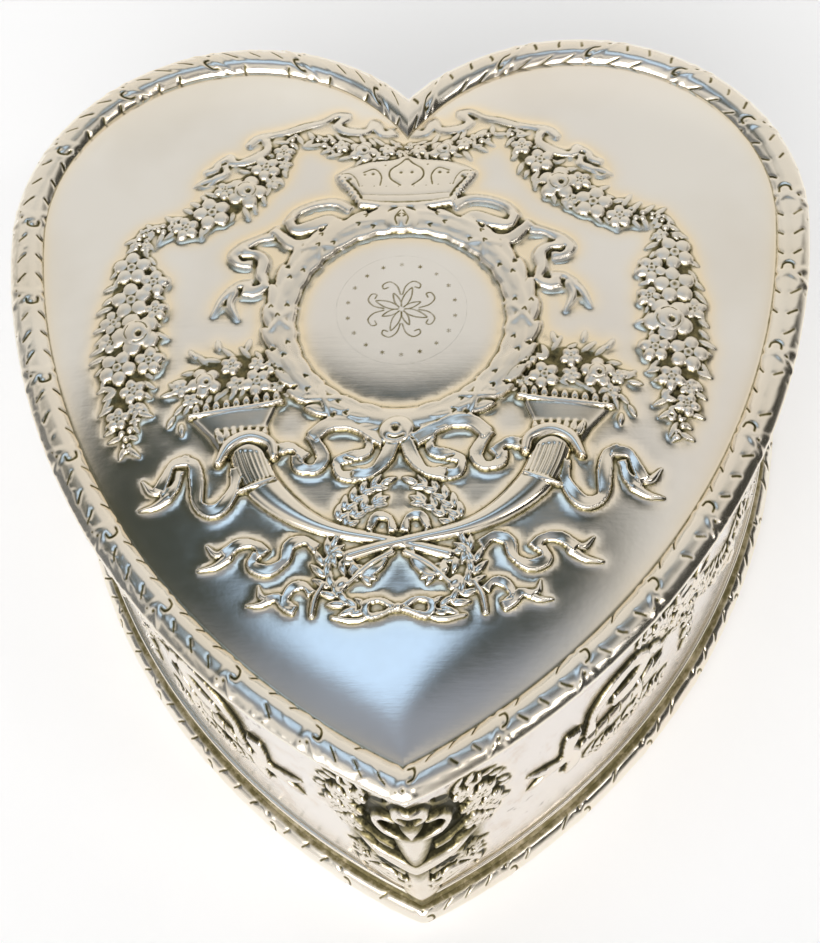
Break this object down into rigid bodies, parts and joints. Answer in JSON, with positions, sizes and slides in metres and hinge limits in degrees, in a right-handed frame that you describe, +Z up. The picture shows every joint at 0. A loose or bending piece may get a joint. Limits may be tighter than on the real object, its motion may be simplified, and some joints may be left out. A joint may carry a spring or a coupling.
{
  "type": "trinket box",
  "caption": "Heart-shaped silver-skinned trinket box with a domed lid on two rear barrel hinges, a wooden carcass and a padded velvet lining.",
  "frame": {"origin": "bottom centre of the bounding box, on the surface that the box stands on", "axes": "+X to the right across the lobes, +Y from the point of the heart back to its lobes and hinges, +Z up"},
  "size_m": [0.165, 0.1798, 0.081],
  "materials": {
    "silver": "polished repousse silver with dark tarnish in the recesses",
    "gilt": "satin gilt",
    "hinge_metal": "satin nickel silver",
    "wood": "oiled mahogany",
    "velvet": "silk velvet over wadding",
    "base_covering": "grained leather cloth",
    "card": "cloth-covered pasteboard"
  },
  "bodies": {
    "box": {"side_skin_left": "silver", "side_skin_right": "silver", "foot_moulding_left": "silver", "foot_moulding_right": "silver", "carcass_wall_left": "wood", "carcass_wall_right": "wood", "base_board": "wood", "base_cloth": "base_covering", "base_pins": "silver", "body_rim": "gilt", "wall_lining_left": "velvet", "wall_lining_right": "velvet", "floor_pad": "velvet", "hinge_left_body_leaf": "hinge_metal", "hinge_right_body_leaf": "hinge_metal", "hinge_left_pin": "hinge_metal", "hinge_right_pin": "hinge_metal", "hinge_body_screws": "hinge_metal"},
    "lid": {"lid_panel": "silver", "lid_moulding_left": "silver", "lid_moulding_right": "silver", "moulding_core_left": "wood", "moulding_core_right": "wood", "lid_bezel": "silver", "lid_board": "wood", "lid_lining_card": "card", "lid_lining_pad": "velvet", "hinge_left_lid_leaf": "hinge_metal", "hinge_right_lid_leaf": "hinge_metal", "hinge_lid_screws": "hinge_metal"}
  },
  "joints": [
    {"name": "lid_hinge", "type": "hinge", "parent": "box", "child": "lid", "pos_m": [0, 0.08799, 0.06715], "axis": [-1, 0, 0], "range_deg": [0, 100]}
  ]
}
